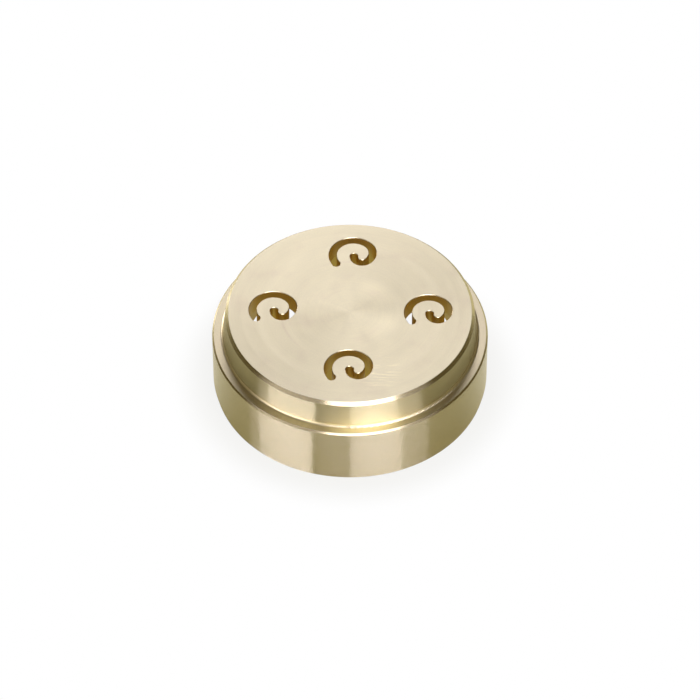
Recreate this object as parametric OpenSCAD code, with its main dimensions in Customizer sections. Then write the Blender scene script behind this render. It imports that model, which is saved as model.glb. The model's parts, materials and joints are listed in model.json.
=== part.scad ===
// One-piece turned brass pasta die: a stepped disc, hollow at the back, with curled slots through its face.
// Millimetres. +Z points up, out of the extrusion face. The origin is the middle of the back rim's plane.

/* [Body] */
// Diameter of the flange, the widest part of the die
flange_d = 57; // [54:0.5:70]
// Height from the back rim to the extrusion face
die_h = 19.5; // [17.5:0.5:26]
// Height of the boss above the shoulder
boss_h = 6.1; // [3:0.1:8]
// Width of the shoulder that the ring nut bears on
shoulder_w = 2.2; // [1.8:0.1:3.4]
// How much the boss widens to each side, from its rim down to its foot
boss_taper = 0.6; // [0.1:0.05:1]

/* [Edges] */
// Chamfer round the extrusion face
face_chamfer = 0.65; // [0.1:0.05:1.2]
// Radius of the hollow corner at the foot of the boss
foot_fillet = 0.5; // [0.2:0.05:1]
// Chamfer on the outer edge of the shoulder
shoulder_chamfer = 0.35; // [0.1:0.05:0.6]
// Height of the lead-in taper at the foot of the flange
lead_in_h = 1.4; // [0.4:0.1:3]
// How far the lead-in taper draws in the foot of the flange
lead_in = 0.3; // [0.1:0.05:0.8]

/* [Hollow back] */
// Wall of the boss round the dough chamber, at the boss's rim
boss_wall = 3.5; // [2:0.1:4]
// Thickness of the plate that the slots pass through
plate_t = 4; // [2.5:0.1:6]
// Wall of the flange round the socket that fits over the barrel's nose
socket_wall = 2.7; // [1.8:0.1:4]
// Depth of that socket
socket_depth = 7; // [3:0.1:8]
// Chamfer at the mouth of that socket
socket_chamfer = 0.5; // [0.1:0.05:0.9]
// Corner radius at the top of the dough chamber
chamber_fillet = 0.8; // [0.2:0.1:1.5]

/* [Hub] */
// Diameter of the hub in the middle of the dough chamber
hub_d = 19.6; // [16:0.1:21]
// Bore in the hub that carries the tip of the feed screw
screw_bore_d = 10; // [5:0.5:13]
// Depth of that bore
screw_bore_depth = 7.5; // [3:0.5:8]
// Chamfer at the mouth of that bore
screw_bore_chamfer = 0.5; // [0.1:0.05:0.9]

/* [Slots] */
// Number of slots round the face
slot_count = 4; // [1:1:6]
// Width of a slot
slot_w = 1.6; // [0.8:0.1:1.8]
// Bevel along the mouth of a slot
slot_bevel = 0.1; // [0.05:0.05:0.3]
// How much further than the slot's walls its drilled ends reach to each side
end_relief = 0.05; // [0.02:0.01:0.15]
// Bend radius of the crown, which runs over the top of a slot and down into its tail
crown_r = 4.3; // [4:0.05:4.6]
// Turn of the crown, in degrees
crown_turn = 172; // [120:1:190]
// Bend radius of the side, a quarter turn
side_r = 3.25; // [3:0.05:3.5]
// Bend radius of the hook in the middle of a slot
hook_r = 1.7; // [1.5:0.05:2]
// Turn of the hook, in degrees
hook_turn = 138; // [90:1:150]
// Angle at which the crown starts, in degrees from +X
slot_turn = 43.5; // [0:0.5:90]

/* [Hidden] */
$fn = 128;
// Overlap that keeps cutting shapes clear of the faces they open
over = 0.1;
flange_r = flange_d / 2;
foot_r = flange_r - shoulder_w;
boss_r = foot_r - boss_taper;
shoulder_z = die_h - boss_h;
chamber_r = boss_r - boss_wall;
chamber_top = die_h - plate_t;
socket_r = flange_r - socket_wall;
hub_r = hub_d / 2;
screw_bore_r = screw_bore_d / 2;
// The slots sit midway between the hub and the chamber's wall
pitch_r = (hub_r + chamber_r) / 2;
// Centre of a slot's crown, from the slot's point on the pitch circle
crown_shift = [0.25, 0.18];
// Centres of the side and of the hook, from the crown's, for arcs that run smoothly into each other
side_centre = [crown_r - side_r, 0];
hook_centre = side_centre - [0, side_r - hook_r];

// Unit vector at an angle from +X
function unit(a) = [cos(a), sin(a)];

// Stock that a round-nosed tool leaves in an inner corner at the origin
module corner_stock(r) {
  difference() {
    translate([-over, -over]) square(r + over);
    translate([r, r]) circle(r);
  }
}

// Half section of the stepped disc, before it is hollowed out
module disc_section() {
  polygon([
    [0, 0],
    [flange_r - lead_in, 0],
    [flange_r, lead_in_h],
    [flange_r, shoulder_z - shoulder_chamfer],
    [flange_r - shoulder_chamfer, shoulder_z],
    [foot_r, shoulder_z],
    [foot_r, shoulder_z + foot_fillet],
    [boss_r, die_h - face_chamfer],
    [boss_r - face_chamfer, die_h],
    [0, die_h],
  ]);
  translate([foot_r, shoulder_z]) corner_stock(foot_fillet);
}

// Half section of the socket at the back, with its chamfered mouth
module socket_section() {
  polygon([
    [0, -over],
    [socket_r + socket_chamfer + over, -over],
    [socket_r, socket_chamfer],
    [socket_r, socket_depth],
    [0, socket_depth],
  ]);
}

// Half section of the ring-shaped dough chamber between the hub and the boss wall
module chamber_section() {
  difference() {
    translate([hub_r, socket_depth - over])
      square([chamber_r - hub_r, chamber_top - socket_depth + over]);
    translate([hub_r, chamber_top]) mirror([0, 1]) corner_stock(chamber_fillet);
    translate([chamber_r, chamber_top]) rotate(180) corner_stock(chamber_fillet);
  }
}

// Half section of the blind bore in the hub, with its chamfered mouth
module screw_bore_section() {
  polygon([
    [0, socket_depth - over],
    [screw_bore_r + screw_bore_chamfer + over, socket_depth - over],
    [screw_bore_r, socket_depth + screw_bore_chamfer],
    [screw_bore_r, socket_depth + screw_bore_depth],
    [0, socket_depth + screw_bore_depth],
  ]);
}

// Cross section of a slot that reaches half its width to each side, with the bevel at the face
module slot_section(half) {
  mouth = half + slot_bevel + over;
  polygon([
    [-half, chamber_top - over],
    [half, chamber_top - over],
    [half, die_h - slot_bevel],
    [mouth, die_h + over],
    [-mouth, die_h + over],
    [-half, die_h - slot_bevel],
  ]);
}

// Stretch of a slot that bends round the origin, from +X and to the left
module slot_arc(r, turn) {
  rotate_extrude(angle = turn) translate([r, 0]) slot_section(slot_w / 2);
}

// Drilled end of a slot
module slot_end() {
  rotate_extrude()
    intersection() {
      slot_section(slot_w / 2 + end_relief);
      translate([0, chamber_top - over]) square([slot_w + over, plate_t + 2 * over]);
    }
}

// One slot, with its crown round the origin: crown, quarter-turn side and hook, between two drilled ends
module slot() {
  slot_arc(crown_r, crown_turn);
  translate(crown_r * unit(crown_turn)) slot_end();
  translate(side_centre) rotate(-90) slot_arc(side_r, 90);
  translate(hook_centre) rotate(-90) mirror([0, 1, 0]) slot_arc(hook_r, hook_turn);
  translate(hook_centre + hook_r * unit(-90 - hook_turn)) slot_end();
}

// The die, turned from one bar of brass and then cut through by the slots
module die_body() {
  color([0.82, 0.74, 0.55])
    difference() {
      rotate_extrude()
        difference() {
          disc_section();
          socket_section();
          chamber_section();
          screw_bore_section();
        }
      for (i = [0:slot_count - 1])
        translate(pitch_r * unit(360 / slot_count * i) + crown_shift) rotate(slot_turn) slot();
    }
}

die_body();
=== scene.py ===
"""A turned brass pasta die on a pale floor, seen from above at a slant under soft studio light."""
import json
import math

import bpy
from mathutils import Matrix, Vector


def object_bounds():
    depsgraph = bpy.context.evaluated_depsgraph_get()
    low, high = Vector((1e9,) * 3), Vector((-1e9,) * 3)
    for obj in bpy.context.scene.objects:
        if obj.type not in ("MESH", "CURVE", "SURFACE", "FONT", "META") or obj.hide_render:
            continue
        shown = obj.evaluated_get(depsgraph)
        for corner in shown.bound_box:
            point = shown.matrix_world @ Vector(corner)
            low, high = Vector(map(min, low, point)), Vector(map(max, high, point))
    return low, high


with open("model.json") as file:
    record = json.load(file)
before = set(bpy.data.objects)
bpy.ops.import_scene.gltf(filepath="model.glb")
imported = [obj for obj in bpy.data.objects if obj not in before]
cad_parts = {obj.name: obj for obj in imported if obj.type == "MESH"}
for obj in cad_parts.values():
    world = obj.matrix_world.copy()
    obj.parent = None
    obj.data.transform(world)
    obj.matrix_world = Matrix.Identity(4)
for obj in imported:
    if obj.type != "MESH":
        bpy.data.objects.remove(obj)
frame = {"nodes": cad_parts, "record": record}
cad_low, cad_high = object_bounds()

MM = 0.001

# Sizes of the die, from the frame, in millimetres
mounts = {m["name"]: m for m in frame["record"]["mounts"]}
DIE_H = cad_high.z / MM
FLANGE_R = mounts["flange"]["dims"]["r_mm"]
SHOULDER_Z = mounts["clamp_shoulder"]["pos_m"][2] / MM
SOCKET_R = mounts["barrel_socket"]["dims"]["r_mm"]

# Rim of the boss and edges of the die, in millimetres
BOSS_R = 25.7
FACE_CHAMFER = 0.65
FOOT_FILLET = 0.5
SHOULDER_CHAMFER = 0.35
LEAD_IN_H = 1.4

# Bounds of the sheltered metal, which is painted darker as shade: in the slots under the face, and in the
# hollow back
SLOTS_R = BOSS_R - 1.35
SLOTS_TOP = DIE_H - 0.2
BACK_R = SOCKET_R + 0.45
BACK_TOP = SHOULDER_Z - 0.75
# How softly one finish runs into the next: at an edge, at a slot's mouth and on the inside
EDGE_SOFT = 0.04
MOUTH_SOFT = 0.1
INSIDE_SOFT = 0.15

# Camera: where it stands, seen from the middle of the die
CAMERA_AZIMUTH = math.radians(1.6)
CAMERA_ELEVATION = math.radians(47.165)
CAMERA_DISTANCE = 0.9
CAMERA_LENS = 223.15
CAMERA_SENSOR = 36.0
# Height of the point that the view turns on, and how far the picture's middle lies below it
VIEW_Z = 0.009413
VIEW_DROP = 0.00103

# Brass on each surface, as linear colours. The boss and the ledge are darker than the flange as painted
# shade, and the inside darker still as painted shade in the slots and the hollow back
COLOURS = {
    "flange": (0.83, 0.72, 0.41, 1),
    "boss": (0.70, 0.61, 0.32, 1),
    "face": (0.83, 0.745, 0.39, 1),
    "edge": (0.87, 0.74, 0.35, 1),
    "ledge": (0.74, 0.65, 0.33, 1),
    "inside": (0.75, 0.54, 0.11, 1),
}
STAIN_COLOUR = (0.66, 0.53, 0.30, 1)
ROUGHNESS = {"flange": 0.22, "face": 0.34, "edge": 0.24, "foot": 0.35, "ledge": 0.3, "inside": 0.4}
# How far reflections stretch across the tool's path
STRETCH = {"flange": 0.9, "face": 0.6, "edge": 0.7, "inside": 0.3}
# Steepest slopes of the turning marks on the walls. The face, the edges and the inside are smoother.
SLOPES = {"flange": 0.62, "boss": 0.53, "face": 0.0, "edge": 0.0, "inside": 0.0}
LEAD_IN_SLOPE = 1.05

# How much the marks lighten or darken the brass, as shares of its tone. The wedges are random tone that also
# paints a faint sheen, and the sheen patches are painted sheen.
RING_TONE = 0.01
WEDGE_TONE_AND_SHEEN = 0.03
WALL_GRAIN_TONE = 0.05
FACE_GRAIN_TONE = 0.025
PAINTED_SHEEN_TONE = 0.11
SCRATCH_TONE = 0.16
# How much of the stain's colour shows in a stain, and on the ring round the middle of the face as painted
# shade
STAIN_SHARE = 0.25
PAINTED_SHADE_SHARE = 0.3
# How much the turning marks and the grain change the roughness
BAND_ROUGHNESS = 0.012
GRAIN_ROUGHNESS = 0.015
# Inner radius, outer radius and softness, in millimetres, of the ring of painted shade and of the paler
# patches of painted sheen
PAINTED_SHADE_RING = (14.0, 14.4, 0.3)
PAINTED_SHEEN_RING = (6.0, 9.5, 2.0)
# Which way the two paler patches of painted sheen lie from the middle of the face
PAINTED_SHEEN_TOWARDS = ((0.87, -0.5, 0), (0.64, 0.77, 0))
# Middle of the few fine scratches on the face, how far they reach from it, and their direction
SCRATCH_PLACE = (6.0, -16.5, 19.5)
SCRATCH_REACH = (2.0, 6.0)
SCRATCH_TURN = (0, 0, 0.2)

# Floor: its size, its gap under the die and its colour
FLOOR_SIZE = 4.0
FLOOR_DROP = 0.02 * MM
FLOOR_COLOUR = (0.39, 0.372, 0.175, 1)
# How white the floor shows to the eye and in the metal: under the die, beside it, and from a stated radius on
SEEN_SHARES = (0.95, 0.86, 1.0, 38.0)
# Under the die the floor glows white in the metal by the first share, as painted light on the slots' walls.
METAL_SHARES = (0.4, 0.05, 1.0, 250.0)
UNDER_R = 27.0
# Painted reflection: the floor close behind the die glows white in the metal only, by this share, between
# these depths, and out to this radius
REFLECTED_GLOW_SHARE = 0.85
REFLECTED_GLOW_START = -22.0
REFLECTED_GLOW_END = 12.0
REFLECTED_GLOW_R = 40.0
REFLECTED_GLOW_SOFT = 5.0

# Light: a dim warm room, and lamp panels by azimuth, elevation, width and height in degrees, and brightness
WORLD_COLOUR = (1.0, 0.78, 0.42, 1)
WORLD_STRENGTH = 0.085
PANEL_DISTANCE = 1.2
PANEL_COLOUR = (1.0, 1.0, 1.5)
PANELS = {
    "left": (-45, 7.5, 40, 15, 6.1),
    "left_edge": (-69, 7.5, 8, 15, 1.8),
    "front_fill": (-10, 7.5, 22, 15, 1.0),
    "right": (20, 7.5, 36, 15, 4.6),
    "right_edge": (48, 7.5, 20, 15, 2.0),
    "upper_left": (-45, 22.5, 40, 15, 0.4),
    "upper_right": (26, 22.5, 34, 15, 1.2),
    "far_left": (-48, 40, 60, 20, 0.25),
    "front": (11.5, 40, 57, 20, 3.2),
    "far_right": (58, 40, 30, 20, 0.25),
    "high_front": (17, 62.5, 50, 25, 3.8),
    "high_right": (58, 62.5, 32, 25, 1.0),
    "behind": (180, 15, 30, 30, 1.5),
    "behind_left": (210, 15, 30, 30, 4.0),
    "over_the_back": (180, 44, 30, 20, 1.4),
    "overhead": (180, 80, 120, 30, 0.6),
}

# Steps on vectors that give a number
NUMBER_STEPS = ("LENGTH", "DISTANCE", "DOT_PRODUCT")


def add(tree, kind, inputs=None, **settings):
    """A new shader node, with its settings and with its inputs set or linked."""
    made = tree.nodes.new(kind)
    for name, value in settings.items():
        setattr(made, name, value)
    for socket, value in (inputs or {}).items():
        if isinstance(value, bpy.types.NodeSocket):
            tree.links.new(value, made.inputs[socket])
        else:
            made.inputs[socket].default_value = value
    return made


def calc(tree, operation, *values):
    """The result of one sum, product or other step on numbers."""
    return add(tree, "ShaderNodeMath", dict(enumerate(values)), operation=operation).outputs[0]


def vector(tree, operation, first, second=None):
    """The result of one step on vectors."""
    inputs = {0: first}
    if second is not None:
        inputs["Scale" if operation == "SCALE" else 1] = second
    made = add(tree, "ShaderNodeVectorMath", inputs, operation=operation)
    return made.outputs["Value" if operation in NUMBER_STEPS else "Vector"]


def ramp(tree, value, low, high, to_low=0.0, to_high=1.0):
    """A number that goes smoothly from to_low to to_high while value goes from low to high."""
    inputs = {"Value": value, "From Min": low, "From Max": high, "To Min": to_low, "To Max": to_high}
    return add(tree, "ShaderNodeMapRange", inputs, interpolation_type="SMOOTHSTEP").outputs["Result"]


def below(tree, value, limit, soft):
    """1 where value lies below a limit, and 0 above it, with a soft end."""
    return ramp(tree, value, limit - soft, limit + soft, 1.0, 0.0)


def within(tree, value, low, high, soft):
    """1 where value lies between low and high, and 0 elsewhere, with soft ends."""
    rising = ramp(tree, value, low - soft, low + soft)
    return calc(tree, "MULTIPLY", rising, below(tree, value, high, soft))


def swing(tree, noise, middle, depth):
    """A number that a noise moves by up to a stated depth to each side of the middle."""
    return ramp(tree, noise, 0.3, 0.7, middle - depth, middle + depth)


def blend(tree, share, first, second):
    """Two numbers mixed by a share that varies over the surface."""
    inputs = {"Factor": share, "A": first, "B": second}
    return add(tree, "ShaderNodeMix", inputs, data_type="FLOAT").outputs[0]


def mix_colour(tree, share, first, second):
    """Two colours mixed by a share that varies over the surface."""
    inputs = {"Factor": share, 6: first, 7: second}
    return add(tree, "ShaderNodeMix", inputs, data_type="RGBA").outputs[2]


def by_surface(tree, surfaces, values, mix):
    """A number or a colour that differs from one surface of the die to the next."""
    result = values["flange"]
    for name, share in surfaces.items():
        if name in values:
            result = mix(tree, share, result, values[name])
    return result


def ring_noise(tree, along, per_mm, detail):
    """Noise that changes only along the tool's path, so that it runs round the axis as turning marks do."""
    inputs = {"W": along, "Scale": per_mm, "Detail": detail}
    return add(tree, "ShaderNodeTexNoise", inputs, noise_dimensions="1D").outputs[0]


def spot_noise(tree, place, per_mm, detail):
    """Noise in all directions, for stains and grain."""
    inputs = {"Vector": place, "Scale": per_mm, "Detail": detail}
    return add(tree, "ShaderNodeTexNoise", inputs).outputs[0]


def new_material(name):
    """An empty node material, with its tree and its output node."""
    material = bpy.data.materials.new(name)
    material.use_nodes = True
    tree = material.node_tree
    tree.nodes.clear()
    return material, tree, add(tree, "ShaderNodeOutputMaterial")


def locate(tree):
    """Where a point lies on the die: its place, radius, height, way along the tool's path, and side."""
    place = vector(tree, "SCALE", add(tree, "ShaderNodeTexCoord").outputs["Object"], 1 / MM)
    flat = vector(tree, "MULTIPLY", place, (1, 1, 0))
    radius = vector(tree, "LENGTH", flat)
    height = add(tree, "ShaderNodeSeparateXYZ", {0: place}).outputs["Z"]
    along = calc(tree, "SUBTRACT", radius, height)
    side = vector(tree, "NORMALIZE", flat)
    return {"place": place, "radius": radius, "height": height, "along": along, "side": side}


def find_surfaces(tree, at):
    """Where the die's surfaces lie, as shares from 0 to 1. Each lies over those before it."""
    radius, height = at["radius"], at["height"]
    foot_top = SHOULDER_Z + FOOT_FILLET
    rim = within(tree, height, DIE_H - FACE_CHAMFER, DIE_H - EDGE_SOFT, EDGE_SOFT)
    step = within(tree, height, SHOULDER_Z - SHOULDER_CHAMFER, foot_top, EDGE_SOFT)
    in_slots = below(tree, radius, SLOTS_R, INSIDE_SOFT)
    in_slots = calc(tree, "MULTIPLY", in_slots, below(tree, height, SLOTS_TOP, MOUTH_SOFT))
    in_back = below(tree, radius, BACK_R, INSIDE_SOFT)
    in_back = calc(tree, "MULTIPLY", in_back, below(tree, height, BACK_TOP, INSIDE_SOFT))
    return {
        "boss": ramp(tree, height, SHOULDER_Z, foot_top),
        "face": ramp(tree, height, DIE_H - 2 * EDGE_SOFT, DIE_H - EDGE_SOFT),
        "edge": calc(tree, "MAXIMUM", rim, step),
        "foot": within(tree, height, SHOULDER_Z + EDGE_SOFT, foot_top, EDGE_SOFT / 2),
        "ledge": within(tree, height, SHOULDER_Z - EDGE_SOFT, SHOULDER_Z + EDGE_SOFT, EDGE_SOFT / 2),
        "inside": calc(tree, "MAXIMUM", in_slots, in_back),
    }


def find_scratches(tree, place):
    """Where the few fine scratches on the face lie."""
    mapping = {"Vector": place, "Rotation": SCRATCH_TURN, "Scale": (0.22, 2.6, 1)}
    streaks = spot_noise(tree, add(tree, "ShaderNodeMapping", mapping).outputs[0], 1.0, 2)
    near = ramp(tree, vector(tree, "DISTANCE", place, SCRATCH_PLACE), *SCRATCH_REACH, 1.0, 0.0)
    return calc(tree, "MULTIPLY", near, ramp(tree, streaks, 0.55, 0.63))


def find_painted_sheen(tree, at):
    """How much the paler patches of painted sheen on the face add to its tone."""
    ring = within(tree, at["radius"], *PAINTED_SHEEN_RING)
    patches = []
    for middle in PAINTED_SHEEN_TOWARDS:
        toward = vector(tree, "DOT_PRODUCT", at["side"], middle)
        patches.append(calc(tree, "MULTIPLY", ramp(tree, toward, 0.8, 1.0, 0.0, PAINTED_SHEEN_TONE), ring))
    return calc(tree, "ADD", *patches)


def brass_colour(tree, at, surfaces, grain):
    """The brass's colour on each surface, darker on the boss, the ledge and the inside as painted shade, with
    stains, turning marks, scratches, a ring of painted shade and paler patches of painted sheen.
    """
    inward = add(tree, "ShaderNodeCombineXYZ", {"Z": calc(tree, "MULTIPLY", at["radius"], 0.12)}).outputs[0]
    # Wedges of tone round the axis: random tone that also paints a faint sheen.
    tone_and_sheen_wedges = spot_noise(tree, vector(tree, "ADD", at["side"], inward), 1.6, 3)
    rings = ring_noise(tree, at["along"], 1.7, 4)
    stains = ramp(tree, spot_noise(tree, at["place"], 0.16, 4), 0.5, 0.8, 0.0, STAIN_SHARE)
    # A darker ring round the middle of the face, as painted shade.
    ring_shade = ramp(tree, tone_and_sheen_wedges, 0.45, 0.65, 0.0, PAINTED_SHADE_SHARE)
    ring_shade = calc(tree, "MULTIPLY", within(tree, at["radius"], *PAINTED_SHADE_RING), ring_shade)
    # Darker brass on the boss, the ledge and the inside is painted shade.
    colour = by_surface(tree, surfaces, COLOURS, mix_colour)
    colour = mix_colour(tree, calc(tree, "ADD", stains, ring_shade), colour, STAIN_COLOUR)

    tone = calc(tree, "MULTIPLY", swing(tree, rings, 1.0, RING_TONE), swing(tree, tone_and_sheen_wedges, 1.0, WEDGE_TONE_AND_SHEEN))
    grain_tone = blend(tree, surfaces["face"], WALL_GRAIN_TONE, FACE_GRAIN_TONE)
    tone = calc(tree, "ADD", tone, calc(tree, "MULTIPLY", grain_tone, swing(tree, grain, 0.0, 1.0)))
    scratches = calc(tree, "MULTIPLY", find_scratches(tree, at["place"]), SCRATCH_TONE)
    # Painted sheen patches and scratches, on the face only.
    scratches_and_painted_sheen = calc(tree, "ADD", find_painted_sheen(tree, at), scratches)
    tone = calc(tree, "ADD", tone, calc(tree, "MULTIPLY", scratches_and_painted_sheen, surfaces["face"]))
    return vector(tree, "SCALE", colour, tone)


def brass_roughness(tree, at, surfaces, grain):
    """The brass's roughness on each surface, a little uneven from the turning marks and the grain."""
    bands = ring_noise(tree, at["along"], 0.45, 2)
    rough = by_surface(tree, surfaces, ROUGHNESS, blend)
    rough = calc(tree, "ADD", rough, swing(tree, bands, 0.0, BAND_ROUGHNESS))
    return calc(tree, "ADD", rough, ramp(tree, grain, 0.35, 0.65, -GRAIN_ROUGHNESS, GRAIN_ROUGHNESS))


def grooved(tree, at, surfaces, tangent):
    """The surface's direction on the sides of grooves too fine to see, which run along the tool's path."""
    low, high = LEAD_IN_H - EDGE_SOFT, LEAD_IN_H + EDGE_SOFT
    wall_slope = ramp(tree, at["height"], low, high, LEAD_IN_SLOPE, SLOPES["flange"])
    slope = by_surface(tree, surfaces, dict(SLOPES, flange=wall_slope), blend)
    random = add(tree, "ShaderNodeTexWhiteNoise", {"Vector": at["place"]}).outputs["Value"]
    lean = calc(tree, "MULTIPLY", calc(tree, "MULTIPLY_ADD", random, 2.0, -1.0), slope)
    normal = add(tree, "ShaderNodeNewGeometry").outputs["Normal"]
    across = vector(tree, "SCALE", vector(tree, "CROSS_PRODUCT", normal, tangent), lean)
    return vector(tree, "NORMALIZE", vector(tree, "ADD", normal, across))


def turned_brass():
    """Brass from the lathe: marks that run round the axis, a paler face with painted sheen, and metal painted
    darker inside as shade.
    """
    material, tree, output = new_material("turned_brass")
    at = locate(tree)
    surfaces = find_surfaces(tree, at)
    grain = spot_noise(tree, at["place"], 4.0, 2)
    tangent = add(tree, "ShaderNodeTangent", direction_type="RADIAL", axis="Z").outputs[0]
    brass = add(tree, "ShaderNodeBsdfPrincipled", {
        "Base Color": brass_colour(tree, at, surfaces, grain),
        "Metallic": 1.0,
        "Roughness": brass_roughness(tree, at, surfaces, grain),
        "Normal": grooved(tree, at, surfaces, tangent),
        "Tangent": tangent,
        "Anisotropic": by_surface(tree, surfaces, STRETCH, blend),
        "Anisotropic Rotation": 0.25,
    })
    tree.links.new(brass.outputs[0], output.inputs["Surface"])
    return material


def white_share(tree, radius, shares):
    """How white the floor shows to one kind of ray, from under the die outwards."""
    under, beside, far, far_r = shares
    outside = ramp(tree, radius, FLANGE_R * MM, far_r * MM, beside, far)
    return blend(tree, calc(tree, "LESS_THAN", radius, UNDER_R * MM), outside, under)


def floor_material():
    """A pale floor that takes the die's shadow and shows as near white to the eye and in the metal, with a
    painted glow behind and under the die that shows only in the metal.
    """
    material, tree, output = new_material("pale_floor")
    place = add(tree, "ShaderNodeTexCoord").outputs["Object"]
    radius = vector(tree, "LENGTH", place)
    depth = add(tree, "ShaderNodeSeparateXYZ", {0: place}).outputs["Y"]
    # Painted reflection: a ring of floor close behind the die glows white, seen only in the metal.
    reflected_glow = ramp(tree, depth, REFLECTED_GLOW_START * MM, REFLECTED_GLOW_END * MM, 0.0, REFLECTED_GLOW_SHARE)
    near = within(tree, radius, UNDER_R * MM, REFLECTED_GLOW_R * MM, REFLECTED_GLOW_SOFT * MM)
    reflected_glow = calc(tree, "MULTIPLY", reflected_glow, near)
    path = add(tree, "ShaderNodeLightPath").outputs
    in_metal = calc(tree, "ADD", path["Is Glossy Ray"], path["Is Transmission Ray"])
    seen_share = calc(tree, "MULTIPLY", path["Is Camera Ray"], white_share(tree, radius, SEEN_SHARES))
    metal_share = calc(tree, "MAXIMUM", white_share(tree, radius, METAL_SHARES), reflected_glow)
    share = calc(tree, "ADD", seen_share, calc(tree, "MULTIPLY", in_metal, metal_share))
    lit = add(tree, "ShaderNodeBsdfDiffuse", {"Color": FLOOR_COLOUR}).outputs[0]
    white = add(tree, "ShaderNodeEmission", {"Strength": 1.0}).outputs[0]
    mixed = add(tree, "ShaderNodeMixShader", {0: share, 1: lit, 2: white}).outputs[0]
    tree.links.new(mixed, output.inputs["Surface"])
    return material


def make_floor():
    """A wide square floor just under the die's back rim."""
    half = FLOOR_SIZE / 2
    mesh = bpy.data.meshes.new("floor")
    corners = [(-half, -half, 0), (half, -half, 0), (half, half, 0), (-half, half, 0)]
    mesh.from_pydata(corners, [], [(0, 1, 2, 3)])
    floor = bpy.data.objects.new("floor", mesh)
    floor.location.z = -FLOOR_DROP
    mesh.materials.append(floor_material())
    bpy.context.scene.collection.objects.link(floor)


def direction(azimuth, elevation):
    """The direction from the die to a point round it. Azimuth 0 is the front, and it grows to the right."""
    return Vector((
        math.sin(azimuth) * math.cos(elevation),
        -math.cos(azimuth) * math.cos(elevation),
        math.sin(elevation),
    ))


def panel(name, azimuth, elevation, width, height, radiance):
    """A flat lamp that faces the die, of a stated brightness as the die sees it. Its width is in azimuth."""
    toward = direction(math.radians(azimuth), math.radians(elevation))
    lamp = bpy.data.lights.new(name, "AREA")
    lamp.shape = "RECTANGLE"
    lamp.size = 2 * PANEL_DISTANCE * math.tan(math.radians(width / 2)) * math.cos(math.radians(elevation))
    lamp.size_y = 2 * PANEL_DISTANCE * math.tan(math.radians(height / 2))
    lamp.color = PANEL_COLOUR
    lamp.energy = radiance * math.pi * lamp.size * lamp.size_y
    holder = bpy.data.objects.new(name, lamp)
    holder.location = toward * PANEL_DISTANCE
    holder.rotation_euler = toward.to_track_quat("Z", "Y").to_euler()
    holder.visible_camera = False
    bpy.context.scene.collection.objects.link(holder)


def make_light():
    """Soft panels round the die, and a dim warm room."""
    for name, place in PANELS.items():
        panel(name, *place)
    world = bpy.data.worlds.new("room")
    world.use_nodes = True
    background = world.node_tree.nodes["Background"]
    background.inputs["Color"].default_value = WORLD_COLOUR
    background.inputs["Strength"].default_value = WORLD_STRENGTH
    bpy.context.scene.world = world


def make_camera():
    """The camera at the photograph's angle and distance."""
    back = direction(CAMERA_AZIMUTH, CAMERA_ELEVATION)
    turn = back.to_track_quat("Z", "Y")
    upward = turn @ Vector((0, 1, 0))
    data = bpy.data.cameras.new("camera")
    data.sensor_width = CAMERA_SENSOR
    data.lens = CAMERA_LENS
    data.clip_end = 10.0
    camera = bpy.data.objects.new("camera", data)
    camera.location = Vector((0, 0, VIEW_Z)) + back * CAMERA_DISTANCE - upward * VIEW_DROP
    camera.rotation_euler = turn.to_euler()
    bpy.context.scene.collection.objects.link(camera)
    bpy.context.scene.camera = camera


def dress_die():
    """The die's finish."""
    die = frame["nodes"]["die_body"]
    die.data.materials.clear()
    die.data.materials.append(turned_brass())


bpy.context.scene.view_settings.view_transform = "Standard"
make_camera()
make_light()
make_floor()
dress_die()
